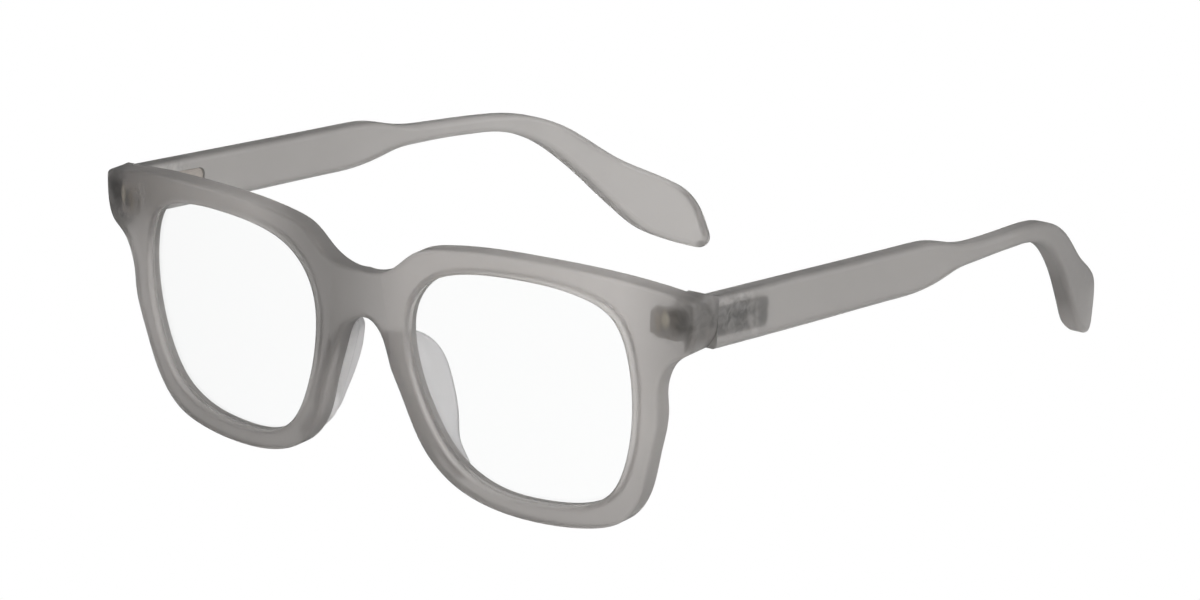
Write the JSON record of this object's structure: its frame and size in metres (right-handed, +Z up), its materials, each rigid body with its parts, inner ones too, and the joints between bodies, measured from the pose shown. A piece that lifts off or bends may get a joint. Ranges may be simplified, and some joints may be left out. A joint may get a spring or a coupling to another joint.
{
  "type": "square eyeglasses",
  "caption": "Square full-rim eyeglasses in thick translucent plastic, with clear lenses, raised nose pads and folding temples on barrel hinges.",
  "frame": {"origin": "bottom centre of the open glasses' bounding box, on the plane that the rims and the temple tips rest on", "axes": "+Z up, -Y the way the lenses face, +X the wearer's left; the temples run back along +Y"},
  "size_m": [0.1442, 0.1576, 0.05],
  "materials": {
    "frame_acetate": "frosted translucent grey",
    "temple_acetate": "frosted translucent grey",
    "pad_acetate": "frosted translucent light grey",
    "lens": "clear polished",
    "hinge_metal": "plated",
    "screw_metal": "bright"
  },
  "bodies": {
    "front": {"front_frame": "frame_acetate", "lens_left": "lens", "lens_right": "lens", "nose_pad_left": "pad_acetate", "nose_pad_right": "pad_acetate", "front_hinge_left": "hinge_metal", "front_hinge_right": "hinge_metal", "hinge_screw_left": "screw_metal", "hinge_screw_right": "screw_metal"},
    "left_temple": {"temple_left": "temple_acetate", "temple_hinge_left": "hinge_metal"},
    "right_temple": {"temple_right": "temple_acetate", "temple_hinge_right": "hinge_metal"}
  },
  "joints": [
    {"name": "left_temple_fold", "type": "hinge", "parent": "front", "child": "left_temple", "pos_m": [0.0667, -0.06441, 0.04151], "axis": [0, 0.0995, 0.995], "range_deg": [0, 84.5]},
    {"name": "right_temple_fold", "type": "hinge", "parent": "front", "child": "right_temple", "pos_m": [-0.0667, -0.06441, 0.04151], "axis": [0, 0.0995, 0.995], "range_deg": [-62, 0]}
  ]
}
